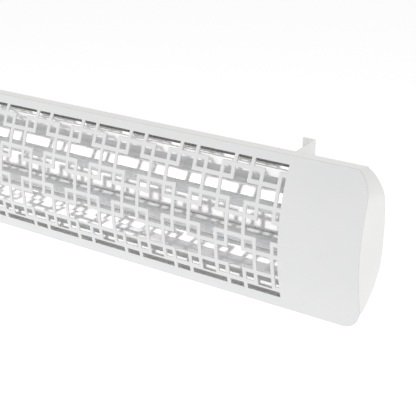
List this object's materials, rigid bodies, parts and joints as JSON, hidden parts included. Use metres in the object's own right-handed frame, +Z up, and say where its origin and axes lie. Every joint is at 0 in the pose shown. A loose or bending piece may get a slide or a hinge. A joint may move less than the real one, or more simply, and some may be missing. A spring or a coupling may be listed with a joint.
{
  "type": "wall-mounted infrared strip heater",
  "caption": "Long infrared quartz strip heater with a curved pierced lattice front, polished reflector, lamps in ceramic caps and tilting wall brackets.",
  "frame": {"origin": "on the wall plane, midway between the two brackets, level with the tilt axis", "axes": "+X along the heater, +Y into the wall, +Z up; the heater faces -Y"},
  "size_m": [0.9054, 0.0987, 0.1967],
  "materials": {
    "front_paint": "smooth white powder coat, satin, slightly greyer",
    "housing_paint": "white powder coat, satin",
    "cap_paint": "warm white powder coat, satin",
    "bracket_paint": "warm white powder coat, satin",
    "zinc_steel": "zinc-plated sheet",
    "bright_sheet": "bright rolled sheet",
    "polished_reflector": "polished with fine lengthwise brushing",
    "quartz": "clear quartz, slightly frosted",
    "filament": "dark tungsten wire",
    "ceramic": "unglazed white ceramic",
    "holder_steel": "pressed steel",
    "lead_sleeve": "woven glass-fibre sleeve",
    "terminal_plastic": "matt moulding",
    "gland_plastic": "matt moulding",
    "fastener_steel": "zinc-plated",
    "knob_plastic": "fine-textured moulding",
    "knob_brass": "turned"
  },
  "bodies": {
    "wall_brackets": {"wall_bracket_right": "bracket_paint", "wall_bracket_left": "bracket_paint"},
    "heater": {"front_sheet": "front_paint", "rear_housing": "housing_paint", "end_cap_right": "cap_paint", "end_cap_left": "cap_paint", "end_plate_right": "zinc_steel", "end_plate_left": "zinc_steel", "lamp_bulkhead_right": "bright_sheet", "lamp_bulkhead_left": "bright_sheet", "reflector_upper": "polished_reflector", "reflector_lower": "polished_reflector", "quartz_tube_upper": "quartz", "filament_upper": "filament", "ceramic_cap_upper_right": "ceramic", "ceramic_cap_upper_left": "ceramic", "lamp_holder_upper_right": "holder_steel", "lamp_holder_upper_left": "holder_steel", "near_lead_upper": "lead_sleeve", "far_lead_upper": "lead_sleeve", "quartz_tube_lower": "quartz", "filament_lower": "filament", "ceramic_cap_lower_right": "ceramic", "ceramic_cap_lower_left": "ceramic", "lamp_holder_lower_right": "holder_steel", "lamp_holder_lower_left": "holder_steel", "near_lead_lower": "lead_sleeve", "far_lead_lower": "lead_sleeve", "terminal_block": "terminal_plastic", "cable_gland": "gland_plastic", "gland_nut": "gland_plastic", "tilt_lug_right": "zinc_steel", "tilt_lug_left": "zinc_steel", "pivot_bolt_right": "fastener_steel", "pivot_bolt_left": "fastener_steel", "pivot_washer_right": "fastener_steel", "pivot_washer_left": "fastener_steel", "stop_pin_right": "fastener_steel", "stop_pin_left": "fastener_steel", "lug_screw_top_right": "fastener_steel", "lug_screw_top_left": "fastener_steel", "lug_screw_bottom_right": "fastener_steel", "lug_screw_bottom_left": "fastener_steel", "face_screw_left": "fastener_steel", "face_screw_middle": "fastener_steel", "face_screw_right": "fastener_steel"},
    "knob_right": {"clamp_knob_right": "knob_plastic", "knob_insert_right": "knob_brass"},
    "knob_left": {"clamp_knob_left": "knob_plastic", "knob_insert_left": "knob_brass"}
  },
  "joints": [
    {"name": "heater_tilt", "type": "hinge", "parent": "wall_brackets", "child": "heater", "pos_m": [0, -0.026, 0], "axis": [1, 0, 0], "range_deg": [0, 40]},
    {"name": "knob_right_turn", "type": "hinge", "parent": "heater", "child": "knob_right", "pos_m": [0.327, -0.026, 0], "axis": [1, 0, 0], "range_deg": [0, 180]},
    {"name": "knob_left_turn", "type": "hinge", "parent": "heater", "child": "knob_left", "pos_m": [-0.327, -0.026, 0], "axis": [-1, 0, 0], "range_deg": [0, 180]}
  ]
}
